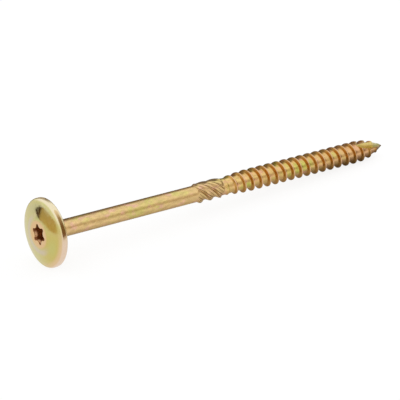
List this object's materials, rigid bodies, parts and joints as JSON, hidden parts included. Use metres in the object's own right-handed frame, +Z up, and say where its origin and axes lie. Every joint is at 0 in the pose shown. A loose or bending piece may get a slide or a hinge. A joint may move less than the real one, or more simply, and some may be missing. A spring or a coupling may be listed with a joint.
{
  "type": "construction screw",
  "caption": "Long timber screw lying down: wide, shallow domed washer head with a lobed drive recess, plain shank, slanting friction ribs, coarse right-hand thread and a cut point.",
  "frame": {"origin": "on the floor, under the middle of the box that the lying screw fills", "axes": "+X along the screw, from the head to the point, and +Z up from the floor. The screw's own axis dips 3.46 degrees from +X towards the floor, because the wide head props that end up"},
  "size_m": [0.1438, 0.0234, 0.0232],
  "materials": {
    "yellow_passivated_steel": "yellow zinc passivation, iridescent gold with green and pink tints"
  },
  "bodies": {
    "root": {"construction_screw": "yellow_passivated_steel"}
  },
  "joints": []
}
